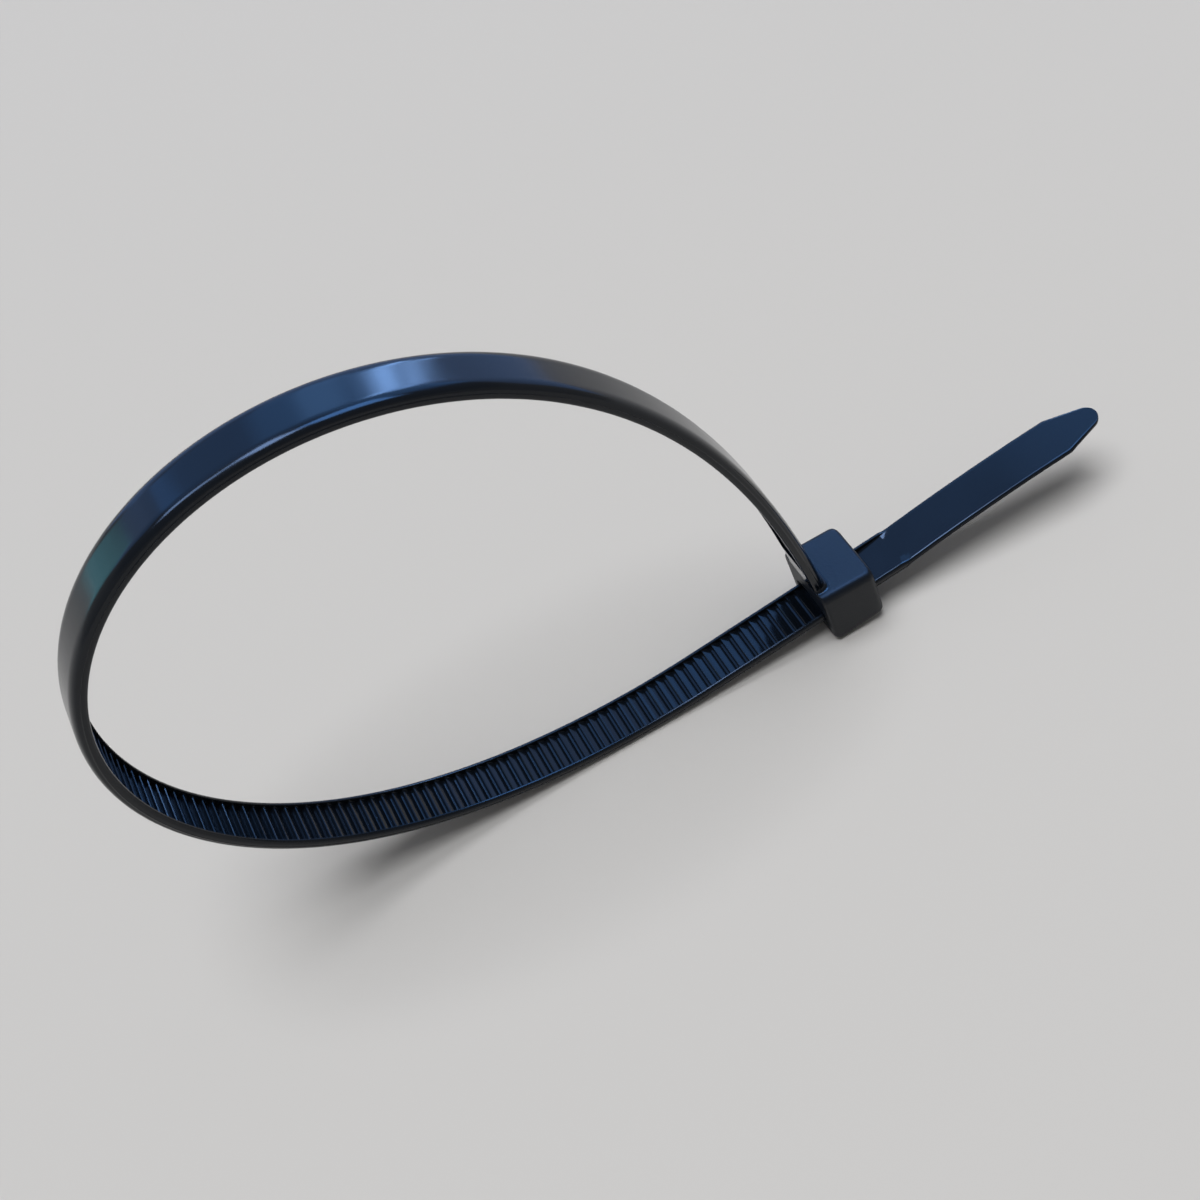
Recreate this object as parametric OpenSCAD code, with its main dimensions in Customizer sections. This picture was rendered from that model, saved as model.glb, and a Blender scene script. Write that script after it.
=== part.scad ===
// Cable tie drawn closed into a tall open loop: one moulding of black nylon, with a ladder strap,
// a locking head that holds a toothed pawl, and a plain pull tail.
// The strap leaves the head's top, runs round the loop and comes back through the head's slot.
// It stands on the lower run of its loop and on the foot of the head, with the tail clear.

/* [Strap] */
// Width of the strap
strap_w = 4.6; // [4.2:0.1:5]
// Thickness of the strap over its rails
strap_t = 1.2; // [1.1:0.05:1.4]
// Width of the plain rail along each edge of the ladder
rail_w = 0.42; // [0.3:0.02:0.6]
// Length of strap without teeth next to the head's top
neck_plain = 2.4; // [1.5:0.1:4]

/* [Ladder teeth] */
// Pitch of the teeth along the strap
tooth_pitch = 1.02; // [0.9:0.02:1.3]
// Depth of the tooth valleys below the rails
valley_depth = 0.58; // [0.5:0.02:0.64]
// Depth of the tooth crests below the rails
crest_depth = 0.2; // [0.1:0.02:0.3]
// Width of each crest's flat top
crest_land = 0.12; // [0.06:0.02:0.2]
// Width of each valley's flat floor
valley_land = 0.2; // [0.1:0.02:0.3]

/* [Loop] */
// Length of the curved part of the loop
loop_len = 157; // [130:1:200]
// Bend at the slot end of the loop, as a share of the fullest bend
slot_bend = 0.3; // [0.2:0.01:0.4]
// Bend at the neck end of the loop, as a share of the fullest bend
neck_bend = 0.14; // [0.08:0.01:0.25]
// How much the bend gathers at the loop's far side
bend_gather = 1.75; // [1.5:0.05:2]
// Lean of the neck over the slot's entry
neck_lean = 4.3; // [0:0.1:8]

/* [Head] */
// Length of the head along the slot
head_len = 5.35; // [5:0.05:6.5]
// Width of the head across the slot
head_w = 7; // [6.4:0.1:7.5]
// Height of the head's top over the slot's middle, at the entry
head_top = 4.5; // [4.3:0.1:5.5]
// Depth of the head's foot under the slot's middle, at the entry
head_foot = 2.75; // [2:0.05:3.5]
// Fall of the top towards the exit, in degrees
top_fall = 6.5; // [3:0.5:8]
// Rise of the foot towards the exit, in degrees
foot_rise = 2; // [0:0.5:6]
// Radius of the upright corners at the exit
exit_corner_r = 0.7; // [0.4:0.05:1]
// Radius of the upright corners at the entry
entry_corner_r = 0.35; // [0.2:0.05:0.6]
// Radius of the long edges of the head's top
top_edge_r = 0.75; // [0.4:0.05:0.9]
// Radius of the long edges of the head's foot
foot_edge_r = 0.8; // [0.3:0.05:1]
// Radius of the cross edges of the head
cross_edge_r = 0.35; // [0.2:0.05:0.5]
// Radius of the cross edge that the head stands on, between its entry face and its foot
foot_cross_r = 0.9; // [0.3:0.05:1.1]

/* [Slot and pawl] */
// Clearance between the strap and the slot's walls
slot_gap = 0.15; // [0.1:0.01:0.25]
// Height of the mouth's arch above the slot's middle
mouth_top = 1.6; // [1.2:0.05:2]
// Length over which the mouth narrows to the slot
mouth_len = 1.3; // [1:0.05:1.6]
// Thickness of the wall between the mouth and the pawl's pocket
root_wall = 0.5; // [0.4:0.05:0.6]
// Thickness of the roof over the pawl's pocket
roof_t = 0.9; // [0.7:0.05:1.1]
// Thickness of the pawl
pawl_t = 0.9; // [0.7:0.05:1]
// Number of teeth on the pawl
pawl_teeth = 3; // [2:1:3]
// Clearance between the pawl and the strap's teeth
pawl_gap = 0.07; // [0.05:0.01:0.1]
// Clearance between the pawl and its pocket's side walls
pocket_gap = 0.22; // [0.15:0.01:0.3]

/* [Tail] */
// Length of the tail past the head
tail_len = 25.9; // [15:0.1:60]
// Length of the rails that show past the head
tail_rails = 3.5; // [2:0.1:6]
// Rise of the blade from the slot's line where the rails end, in degrees
tail_rise = 6.5; // [0:0.1:10]
// Angle by which the blade bends back down on its way to the tip, in degrees
tail_curl = 8.5; // [0:0.1:12]
// Drop from the rails to the blade's upper face
blade_step = 0.2; // [0.1:0.02:0.3]
// Thickness of the blade past the rails
blade_t = 0.65; // [0.5:0.01:0.8]
// Thickness of the blade at its tip
tip_t = 0.5; // [0.4:0.01:0.6]
// Length of the blade's pointed end
tip_len = 4.3; // [3.5:0.1:8]
// Radius of the blade's tip
tip_r = 1.25; // [0.8:0.05:1.5]

/* [Hidden] */
overlap = 0.05;
// Flat steps that draw each small cross edge of the head and half the tip's arc
corner_steps = 8;
$fn = 48;
nylon_black = "#17181b";

// The loop's curve: arcs of equal length, each with its own turn, from the slot to the neck
n_arcs = 28;
arc_len = loop_len / n_arcs;
turn_total = 270 - neck_lean;
shares = [for (i = [0:n_arcs - 1]) bend_share((i + 0.5) / n_arcs)];
share_sum = total(shares, n_arcs);
turns = [for (w = shares) turn_total * w / share_sum];
radii = [for (t = turns) arc_len / (t * PI / 180)];
// Heading at the start of each arc, in degrees; the first one runs along the slot, off the tail
headings = [for (i = 0, h = 180; i <= n_arcs; h = h - (i < n_arcs ? turns[i] : 0), i = i + 1) h];
// Start of each arc, from the first arc's start
knots = [for (i = 0, p = [0, 0]; i <= n_arcs; p = p + (i < n_arcs ? chord(i) : [0, 0]), i = i + 1) p];
neck_dir = along(headings[n_arcs]);
// Where the neck stands on the head: its inner face is flush with the head's entry face
neck_foot = [strap_t / 2 / cos(neck_lean), head_top - strap_t / 2 * tan(top_fall)];
// The straight runs at the slot and at the neck take up what the curve leaves open
reach = neck_foot - knots[n_arcs];
slot_run = cross(reach, neck_dir) / cross([-1, 0], neck_dir);
neck_run = cross([-1, 0], reach) / cross([-1, 0], neck_dir);
loop_start = [-slot_run, 0];
path_len = slot_run + loop_len + neck_run;

// The teeth run from the slot's exit to the plain neck; the rails run on past them on the tail
rails_end = -(head_len + tail_rails);
teeth_from = -head_len;
n_teeth = floor((path_len - neck_plain - teeth_from) / tooth_pitch);
teeth_to = teeth_from + n_teeth * tooth_pitch;
channel_w = strap_w - 2 * rail_w;
crest_level = strap_t / 2 - crest_depth;
valley_level = strap_t / 2 - valley_depth;
ramp_end = tooth_pitch - crest_land;

// Head outline in the plane of the loop, with the slot's entry at the origin
entry_top = [0, head_top];
exit_top = [head_len, head_top - head_len * tan(top_fall)];
exit_foot = [head_len, -head_foot + head_len * tan(foot_rise)];
entry_foot = [0, -head_foot];
head_outline = [entry_top, exit_top, exit_foot, entry_foot];
slot_w = strap_w + 2 * slot_gap;
slot_half_h = strap_t / 2 + slot_gap;
pawl_w = channel_w - 2 * slot_gap;
pocket_w = pawl_w + 2 * pocket_gap;
// The mouth's arch falls from its middle to the slot's middle level at the slot's sides
arch_r = (pow(slot_w / 2, 2) + pow(mouth_top, 2)) / (2 * mouth_top);
pocket_x = mouth_len + root_wall;
pocket_top = exit_top.y - roof_t;

// Tail: where the rounded tip and the straight edges end, along the path, and how the blade bends
tip_end = -(head_len + tail_len);
tip_round = tip_end + tip_r;
tip_corner = tip_end + tip_len;
blade_len = tail_len - tail_rails;
blade_face = strap_t / 2 - blade_step;
// Length over which the rails fall to the blade's faces
step_len = 0.8;
// Angle at which the tapered edge leaves the tip's arc
tip_lean = atan2(strap_w / 2, tip_corner - tip_round)
    - asin(tip_r / norm([tip_corner - tip_round, strap_w / 2]));

// Resting pose: the line that touches the head's foot and the lower run
foot_round = corner_centre(head_outline, 3, foot_cross_r);
rest_tilts = [for (i = [0:n_arcs / 2]) if (touches(i)) rest_angle(i)];
rest_tilt = rest_tilts[0];
rest_drop = height_at_rest(foot_round) - foot_cross_r;

// Stations along the path where the strap's outline has a point: the blade from its tip, then the
// rails, the slot, the loop, and the neck down to its root in the head
arc_steps = 4;
blade_steps = 8;
blade_stations = [
    for (i = [0:blade_steps]) tip_end - overlap + i * (blade_len - step_len) / blade_steps
];
root_depth = (head_top - mouth_top) / 2;
stations = concat(
    [rails_end, 0, slot_run],
    [for (i = [1:n_arcs * arc_steps - 1]) slot_run + i * arc_len / arc_steps],
    [slot_run + loop_len, path_len + root_depth]
);
outer_line = concat(
    [for (s = blade_stations) on_path(s, blade_face - blade_thickness(s))],
    [for (s = stations) on_path(s, -strap_t / 2)]
);
inner_line = concat(
    [for (i = [len(stations) - 1:-1:0]) on_path(stations[i], strap_t / 2)],
    [for (i = [blade_steps:-1:0]) on_path(blade_stations[i], blade_face)]
);
// Sides of the strap in the resting pose; they are also the sides of the whole tie
rest_sides = concat(
    [side_at_rest(on_path(tip_end, blade_face - tip_t))],
    [for (s = stations) side_at_rest(on_path(s, -strap_t / 2))]
);

function total(list, n) = n == 0 ? 0 : list[n - 1] + total(list, n - 1);
function along(a) = [cos(a), sin(a)];
// Direction from the path towards the loop's inside
function inward(h) = [sin(h), -cos(h)];
function bend_share(u) =
    slot_bend * (1 - u) + neck_bend * u + (1 - slot_bend) * pow(sin(180 * u), bend_gather);
function chord(i) = 2 * radii[i] * sin(turns[i] / 2) * along(headings[i] - turns[i] / 2);
function centre_of(i) = loop_start + knots[i] + radii[i] * inward(headings[i]);
// Point of the path at a distance from the slot's entry, moved towards the loop's inside
function on_path(s, in) =
    s < rails_end ? on_blade(rails_end - s, in)
    : s < slot_run ? [-s, in]
    : s < slot_run + loop_len ? on_arc(floor((s - slot_run) / arc_len), s - slot_run, in)
    : loop_start + knots[n_arcs] + (s - slot_run - loop_len) * neck_dir
      + in * inward(headings[n_arcs]);
function on_arc(i, s, in) =
    let (h = headings[i] - turns[i] * (s / arc_len - i))
    centre_of(i) - (radii[i] - in) * inward(h);

// The blade is one arc from the rails' end: its chord and its heading at a run past that end
function on_blade(run, in) =
    let (
        back = tail_curl * run / blade_len,
        reach = back == 0 ? run : run * sin(back / 2) / (back / 2 * PI / 180)
    )
    [-rails_end, 0] + reach * along(tail_rise - back / 2) + in * along(tail_rise - back + 90);
function blade_thickness(s) = blade_t + (tip_t - blade_t) * (rails_end - s) / blade_len;

// Corner rounding: the centre, the two touching points, and the steps between them
function unit(v) = v / norm(v);
function to_next(pts, i) = unit(pts[(i + 1) % len(pts)] - pts[i]);
function to_last(pts, i) = unit(pts[(i + len(pts) - 1) % len(pts)] - pts[i]);
function half_angle(pts, i) = acos(to_next(pts, i) * to_last(pts, i)) / 2;
function corner_centre(pts, i, r) =
    pts[i] + unit(to_next(pts, i) + to_last(pts, i)) * r / sin(half_angle(pts, i));
function corner_arc(pts, i, r) =
    let (
        c = corner_centre(pts, i, r),
        from = pts[i] + to_last(pts, i) * r / tan(half_angle(pts, i)) - c,
        to = pts[i] + to_next(pts, i) * r / tan(half_angle(pts, i)) - c,
        a = atan2(from.y, from.x),
        turn = (atan2(to.y, to.x) - a + 540) % 360 - 180
    )
    [for (k = [0:corner_steps]) c + r * along(a + turn * k / corner_steps)];

// Turning the loop's plane until the head's foot and the lower run touch one level line
function rest_angle(i) =
    let (d = centre_of(i) - foot_round)
    90 - atan2(d.y, d.x) + acos((radii[i] + strap_t / 2 - foot_cross_r) / norm(d));
function touches(i) = rest_angle(i) >= 180 - headings[i] && rest_angle(i) < 180 - headings[i + 1];
function side_at_rest(p) = p.x * cos(rest_tilt) - p.y * sin(rest_tilt);
function height_at_rest(p) = p.x * sin(rest_tilt) + p.y * cos(rest_tilt);

// Outline points of one tooth that starts at s: valley floor, ramp, crest, then the steep face
function tooth_profile(s) = [
    on_path(s, valley_level),
    on_path(s + valley_land, valley_level),
    on_path(s + ramp_end, crest_level),
    on_path(s + tooth_pitch, crest_level)
];

// Strap and tail, drawn in the loop's plane, with the ladder channel and the tip cut into them
module strap() {
    difference() {
        linear_extrude(height = strap_w, center = true)
        polygon(concat(outer_line, inner_line));
        linear_extrude(height = channel_w, center = true)
        polygon(channel_outline());
        tip_trim();
    }
}

// The channel between the rails: teeth on its floor, open towards the loop's inside, and a ramp that
// climbs from the first valley to the blade's face
function channel_outline() = concat(
    [on_path(rails_end - step_len, blade_face), on_path(rails_end, blade_face)],
    [for (j = [0:n_teeth - 1]) each tooth_profile(teeth_from + j * tooth_pitch)],
    [for (j = [n_teeth:-1:0]) on_path(teeth_from + j * tooth_pitch, strap_t)],
    [on_path(rails_end - step_len, strap_t)]
);

// What is cut away round the tail's pointed end
module tip_trim() {
    tip_at = on_path(tip_end, 0);
    translate([tip_at.x, tip_at.y, 0])
    rotate([0, 0, tail_rise - tail_curl])
    translate([-tail_len, 0, 0])
    rotate([90, 0, 0])
    linear_extrude(height = 4 * strap_t, center = true)
    difference() {
        translate([tail_len - tip_len - strap_w, -strap_w])
        square([tip_len + 2 * strap_w, 2 * strap_w]);
        tail_plan();
    }
}

// Plan of the tail's end: two straight tapered edges, drawn out past the strap's width, and the
// tip's arc between them
module tail_plan() {
    end = 90 - tip_lean;
    start = tail_len - tip_len - strap_w;
    start_half = strap_w / 2 + strap_w * tan(tip_lean);
    arc = [
        for (k = [-corner_steps:corner_steps])
            [tail_len - tip_r, 0] + tip_r * along(end * k / corner_steps)
    ];
    polygon(concat([[start, -start_half]], arc, [[start, start_half]]));
}

// Polygon with an arc of its own radius in each corner
module rounded(pts, radii) {
    polygon([for (i = [0:len(pts) - 1]) each corner_arc(pts, i, radii[i])]);
}

// Outer form of the head: side view, plan, and the rounded roof and foot that follow its slopes
module head_body() {
    half = head_w / 2;
    tall = head_top + head_foot;
    r = cross_edge_r;
    intersection() {
        translate([0, 0, -half])
        linear_extrude(height = head_w)
        rounded(head_outline, [0.5 * r, r, r, foot_cross_r]);
        rotate([90, 0, 0])
        translate([0, 0, -2 * tall])
        linear_extrude(height = 4 * tall)
        round_block(head_len, half, entry_corner_r, exit_corner_r);
        edge_bar(entry_top, -top_fall, top_edge_r, 180);
        edge_bar(entry_foot, foot_rise, foot_edge_r, 0);
    }
}

// Long bar with two rounded edges on the face that runs through a point at a slope
module edge_bar(p, slope, r, turn) {
    tall = 2 * (head_top + head_foot);
    long = 2 * head_len;
    translate([p.x, p.y, 0])
    rotate([0, 0, slope])
    translate([-long / 2, 0, 0])
    rotate([90, 0, 90])
    linear_extrude(height = 2 * long)
    rotate(turn)
    round_block(tall, head_w / 2, r, r);
}

// Block from x = 0 to len, with its own corner radius at either end
module round_block(len, half, r_near, r_far) {
    translate([r_near, -half])
    square([len - r_near - r_far, 2 * half]);
    translate([0, -(half - r_near)])
    square([len / 2, 2 * (half - r_near)]);
    translate([len / 2, -(half - r_far)])
    square([len / 2, 2 * (half - r_far)]);
    for (side = [-1, 1]) {
        translate([r_near, side * (half - r_near)])
        circle(r = r_near);
        translate([len - r_far, side * (half - r_far)])
        circle(r = r_far);
    }
}

// Slot, its mouth that opens in a low arch, and the pawl's pocket that opens at the exit
module slot_and_pocket() {
    translate([-1, -slot_half_h, -slot_w / 2])
    cube([head_len + 2, 2 * slot_half_h, slot_w]);
    intersection() {
        translate([0, 0, -slot_w / 2])
        linear_extrude(height = slot_w)
        polygon([[-1, 0], [mouth_len, 0], [mouth_len, slot_half_h], [0, mouth_top], [-1, mouth_top]]);
        translate([-1, mouth_top - arch_r, 0])
        rotate([0, 90, 0])
        cylinder(r = arch_r, h = mouth_len + 1);
    }
    translate([pocket_x, 0, -pocket_w / 2])
    cube([head_len, pocket_top, pocket_w]);
}

// Pawl: a sprung tongue from the entry wall, with teeth that sit in the strap's valleys
module pawl() {
    root = [pocket_x - overlap, slot_half_h + pawl_gap];
    backs = [for (j = [pawl_teeth:-1:1]) each pawl_tooth(head_len - j * tooth_pitch)];
    tip = [head_len - tooth_pitch - pawl_gap, crest_level + pawl_gap + pawl_t];
    translate([0, 0, -pawl_w / 2])
    linear_extrude(height = pawl_w)
    polygon(concat([root + [0, 1.5 * pawl_t], root], backs, [tip]));
}

// Outline of one pawl tooth, from the head's entry side to its steep face at x
function pawl_tooth(x) = [
    [x - ramp_end + pawl_gap, crest_level + pawl_gap],
    [x - valley_land, valley_level + pawl_gap],
    [x - pawl_gap, valley_level + pawl_gap],
    [x - pawl_gap, crest_level + pawl_gap]
];

// The whole tie in the loop's plane, with the slot along x
module tie_in_plane() {
    strap();
    difference() {
        head_body();
        slot_and_pocket();
    }
    pawl();
}

module cable_tie() {
    color(nylon_black)
    translate([-(min(rest_sides) + max(rest_sides)) / 2, 0, -rest_drop])
    rotate([90, 0, 0])
    rotate([0, 0, rest_tilt])
    tie_in_plane();
}

cable_tie();
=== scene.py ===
"""A black nylon cable tie, drawn closed into a tall open loop and standing on a pale surface.

The tie is one moulding. Three sub-assemblies build its skin: the strap with its ladder, tail and neck,
the locking head, and the pawl inside the head. All of them are worked out in the loop's own plane, in
millimetres, with the origin at the slot's entry, x along the slot towards the tail and y towards the
head's top, and are then laid down in the resting pose, in metres.
"""

import logging
from dataclasses import dataclass, field
from enum import Enum

import bpy
import numpy as np
from mathutils import Matrix, Vector


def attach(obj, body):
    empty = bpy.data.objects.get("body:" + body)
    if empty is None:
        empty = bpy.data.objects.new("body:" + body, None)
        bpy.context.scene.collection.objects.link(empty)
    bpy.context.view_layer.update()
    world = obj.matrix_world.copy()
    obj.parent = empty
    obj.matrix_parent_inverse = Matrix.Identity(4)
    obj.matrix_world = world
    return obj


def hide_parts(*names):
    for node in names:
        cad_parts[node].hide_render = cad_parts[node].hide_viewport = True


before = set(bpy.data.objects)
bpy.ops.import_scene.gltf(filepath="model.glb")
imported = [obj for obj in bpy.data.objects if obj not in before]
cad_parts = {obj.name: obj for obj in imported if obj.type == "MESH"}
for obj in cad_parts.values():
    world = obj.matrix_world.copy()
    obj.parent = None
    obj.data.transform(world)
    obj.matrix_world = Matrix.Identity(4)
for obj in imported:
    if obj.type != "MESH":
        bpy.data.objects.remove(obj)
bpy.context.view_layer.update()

MM = 0.001
log = logging.getLogger("cable_tie")


def along(degrees: np.ndarray | float) -> np.ndarray:
    """Unit vector of each heading, as the last axis: (cos, sin)."""
    a = np.radians(degrees)
    return np.stack([np.cos(a), np.sin(a)], axis=-1)


def inward(degrees: np.ndarray | float) -> np.ndarray:
    """Unit vector a quarter turn to the right of each heading, towards the loop's inside."""
    a = np.radians(degrees)
    return np.stack([np.sin(a), -np.cos(a)], axis=-1)


def quarter_turn(count: int) -> np.ndarray:
    """Evenly spaced angles from 0 to 90 degrees, in radians."""
    return np.radians(np.linspace(0, 90, count))


def cross2(a: np.ndarray, b: np.ndarray) -> float:
    """Area of the parallelogram that two plane vectors span, signed."""
    return float(a[0] * b[1] - a[1] * b[0])


def smooth_step(x: np.ndarray) -> np.ndarray:
    """0 below 0, 1 above 1, and 3x^2 - 2x^3 between."""
    t = np.clip(x, 0.0, 1.0)
    return t * t * (3.0 - 2.0 * t)


@dataclass(frozen=True)
class HeadSizes:
    """Sizes of the locking head, in millimetres and degrees.

    Top and foot are measured from the slot's middle line, at the entry.
    """

    length: float = 5.35
    width: float = 7.0
    top: float = 4.5
    foot: float = 2.75
    top_fall: float = 6.5
    foot_rise: float = 2.0
    exit_corner: float = 0.7
    entry_corner: float = 0.35
    top_edge: float = 0.75
    foot_edge: float = 0.8
    cross_edge: float = 0.35
    foot_cross: float = 0.9
    mouth_top: float = 1.6
    mouth_length: float = 1.3
    root_wall: float = 0.5
    roof: float = 0.9
    slot_gap: float = 0.15
    pocket_gap: float = 0.22

    def top_at(self, x: np.ndarray | float) -> np.ndarray:
        """Level of the sloped top: it falls from the entry towards the exit."""
        return self.top - x * np.tan(np.radians(self.top_fall))

    def foot_at(self, x: np.ndarray | float) -> np.ndarray:
        """Level of the sloped foot: it rises from the entry towards the exit."""
        return -self.foot + x * np.tan(np.radians(self.foot_rise))


@dataclass(frozen=True)
class StrapSizes:
    """Sizes of the strap, its ladder and its tail, in millimetres."""

    width: float = 4.6
    thickness: float = 1.2
    rail: float = 0.42
    outer_edge: float = 0.5
    rail_edge: float = 0.3
    neck_plain: float = 2.4
    pitch: float = 1.02
    valley_depth: float = 0.58
    crest_depth: float = 0.2
    crest_land: float = 0.12
    valley_land: float = 0.2
    tail_length: float = 25.9
    tail_rails: float = 3.5
    blade_step: float = 0.2
    blade: float = 0.65
    tip: float = 0.5
    tip_length: float = 4.3
    tip_radius: float = 1.25


@dataclass(frozen=True)
class StrapDetail:
    """Forms of the strap that are finer than the solid, in millimetres where they aren't shares."""

    draft: float = 0.06           # how far the side is drawn in at the outer face
    rail_draft: float = 0.4       # share of that at the rails
    parting_ridge: float = 0.04
    parting_half: float = 0.05
    parting_at: float = 0.52      # share of the depth, from the outer face
    outer_share: float = 0.42     # most of the depth that the outer round may take
    crown: float = 1.9            # width of the outer round, in times its depth
    wall_foot: float = 0.03       # corner between the channel's floor and wall
    wall_lean: float = 0.01
    rail_break_depth: float = 0.05
    rail_break_width: float = 0.06
    shallow: float = 0.06         # a channel less deep than this has no broken rail edge
    crest_round: float = 0.06     # start of the round before the end of a tooth's ramp
    crest_past: float = 0.03      # end of it after the end of the ramp
    crest_break: float = 0.08
    break_fall: float = 0.8       # share of the crest's break by which it falls
    steep_run: float = 0.03
    rails_fall_at: float = 0.25   # before the rails' end
    rails_fall_run: float = 0.7
    blade_step_at: float = 0.1    # before the rails' end
    blade_step_run: float = 0.8
    neck_fillet: float = 0.35
    root_depth: float = 1.45      # the neck's end inside the head
    lean_from: float = 1.2        # height over the head's top at which the neck's rings start to lean
    lean_run: float = 0.8         # run over which they reach the lean of the top
    drawn_in: float = 0.006       # keeps the outer face inside the solid's box


@dataclass(frozen=True)
class LoopPath:
    """The strap's centre line, from the tail's tip (negative distances) round the loop to the neck."""

    head: HeadSizes
    strap: StrapSizes
    curve: float = 157.0
    slot_heading: float = 180.0
    whole_turn: float = 270.0
    slot_bend: float = 0.3
    neck_bend: float = 0.14
    gather: float = 1.75
    neck_lean: float = 4.3
    arcs: int = 28
    tail_rise: float = 6.5
    tail_curl: float = 8.5
    turns: np.ndarray = field(init=False)
    radii: np.ndarray = field(init=False)
    headings: np.ndarray = field(init=False)
    knots: np.ndarray = field(init=False)
    slot_run: float = field(init=False)
    neck_run: float = field(init=False)

    def __post_init__(self) -> None:
        """Works out the arcs: each one's turn is its share of the whole bend, by the bend's law.

        The law is a straight line from the slot's bend to the neck's, and a power of a sine on top of
        it. The straight runs at both ends are then as long as it takes to close the loop: one vector
        sum of the curve, the slot's run and the neck's run has to reach the neck's foot on the head.
        """
        u = (np.arange(self.arcs) + 0.5) / self.arcs
        bump = np.sin(np.pi * u) ** self.gather
        share = self.slot_bend * (1 - u) + self.neck_bend * u + (1 - self.slot_bend) * bump
        turns = (self.whole_turn - self.neck_lean) * share / share.sum()
        radii = self.arc / np.radians(turns)
        headings = self.slot_heading - np.concatenate([[0.0], np.cumsum(turns)])
        lengths = 2 * radii * np.sin(np.radians(turns / 2))
        chords = lengths[:, None] * along(headings[:-1] - turns / 2)
        knots = np.concatenate([[[0.0, 0.0]], np.cumsum(chords, axis=0)])
        half = self.strap.thickness / 2
        foot = np.array([half / np.cos(np.radians(self.neck_lean)),
                         self.head.top - half * np.tan(np.radians(self.head.top_fall))])
        reach = foot - knots[-1]
        neck = along(headings[-1])
        back = np.array([-1.0, 0.0])
        for name, value in (
            ("turns", turns), ("radii", radii), ("headings", headings), ("knots", knots),
            ("slot_run", cross2(reach, neck) / cross2(back, neck)),
            ("neck_run", cross2(back, reach) / cross2(back, neck)),
        ):
            object.__setattr__(self, name, value)

    @property
    def arc(self) -> float:
        """Length of one arc of the curve."""
        return self.curve / self.arcs

    @property
    def length(self) -> float:
        """Length of the strap from the slot's entry to the head's top."""
        return self.slot_run + self.curve + self.neck_run

    @property
    def rails_end(self) -> float:
        """Distance at which the rails end on the tail."""
        return -(self.head.length + self.strap.tail_rails)

    @property
    def tip_end(self) -> float:
        """Distance of the tail's tip."""
        return -(self.head.length + self.strap.tail_length)

    @property
    def start(self) -> np.ndarray:
        """Point at which the slot's straight run ends and the curve starts."""
        return np.array([-self.slot_run, 0.0])

    def centres(self) -> np.ndarray:
        """Centre of each arc: its start, moved inwards by its radius."""
        return self.start + self.knots[:-1] + self.radii[:, None] * inward(self.headings[:-1])

    def tail_frames(self, s: np.ndarray) -> tuple[np.ndarray, np.ndarray]:
        """Centre line point and heading on the tail past the rails, which is one arc.

        A point lies at the end of its chord: the run times sin(h) / h, for half the turn h, along the
        middle of the start's heading and its own.

        Args:
            s: Distances along the path.

        Returns:
            Points of shape (len(s), 2) and headings in degrees.
        """
        past = self.rails_end - s
        turn = self.tail_curl * past / (self.rails_end - self.tip_end)
        chord = past * np.sinc(np.radians(turn / 2) / np.pi)
        point = np.array([-self.rails_end, 0.0]) + chord[:, None] * along(self.tail_rise - turn / 2)
        return point, self.tail_rise - turn + self.slot_heading

    def frames(self, s: np.ndarray) -> tuple[np.ndarray, np.ndarray]:
        """Centre line point and inward unit vector at each distance.

        The tail past the rails is one arc, the slot a straight line, the loop a row of arcs whose
        centres lie on the inward side, and the neck a straight line.

        Args:
            s: Distances along the path from the slot's entry.

        Returns:
            Points and inward vectors, each of shape (len(s), 2).
        """
        s = np.asarray(s, float)
        run = s - self.slot_run
        k = np.clip((run // self.arc).astype(int), 0, self.arcs - 1)
        heading = self.headings[k] - self.turns[k] * (run / self.arc - k)
        on_loop = self.centres()[k] - self.radii[k][:, None] * inward(heading)
        on_neck = self.start + self.knots[-1] + (run - self.curve)[:, None] * along(self.headings[-1])
        on_slot = np.stack([-s, np.zeros_like(s)], axis=-1)
        on_tail, tail_heading = self.tail_frames(s)
        where = [s < self.rails_end, s < self.slot_run, s >= self.slot_run + self.curve]
        point = np.select([w[:, None] for w in where], [on_tail, on_slot, on_neck], on_loop)
        turned = np.select(where, [tail_heading, self.slot_heading, self.headings[-1]], heading)
        return point, inward(turned)


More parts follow.
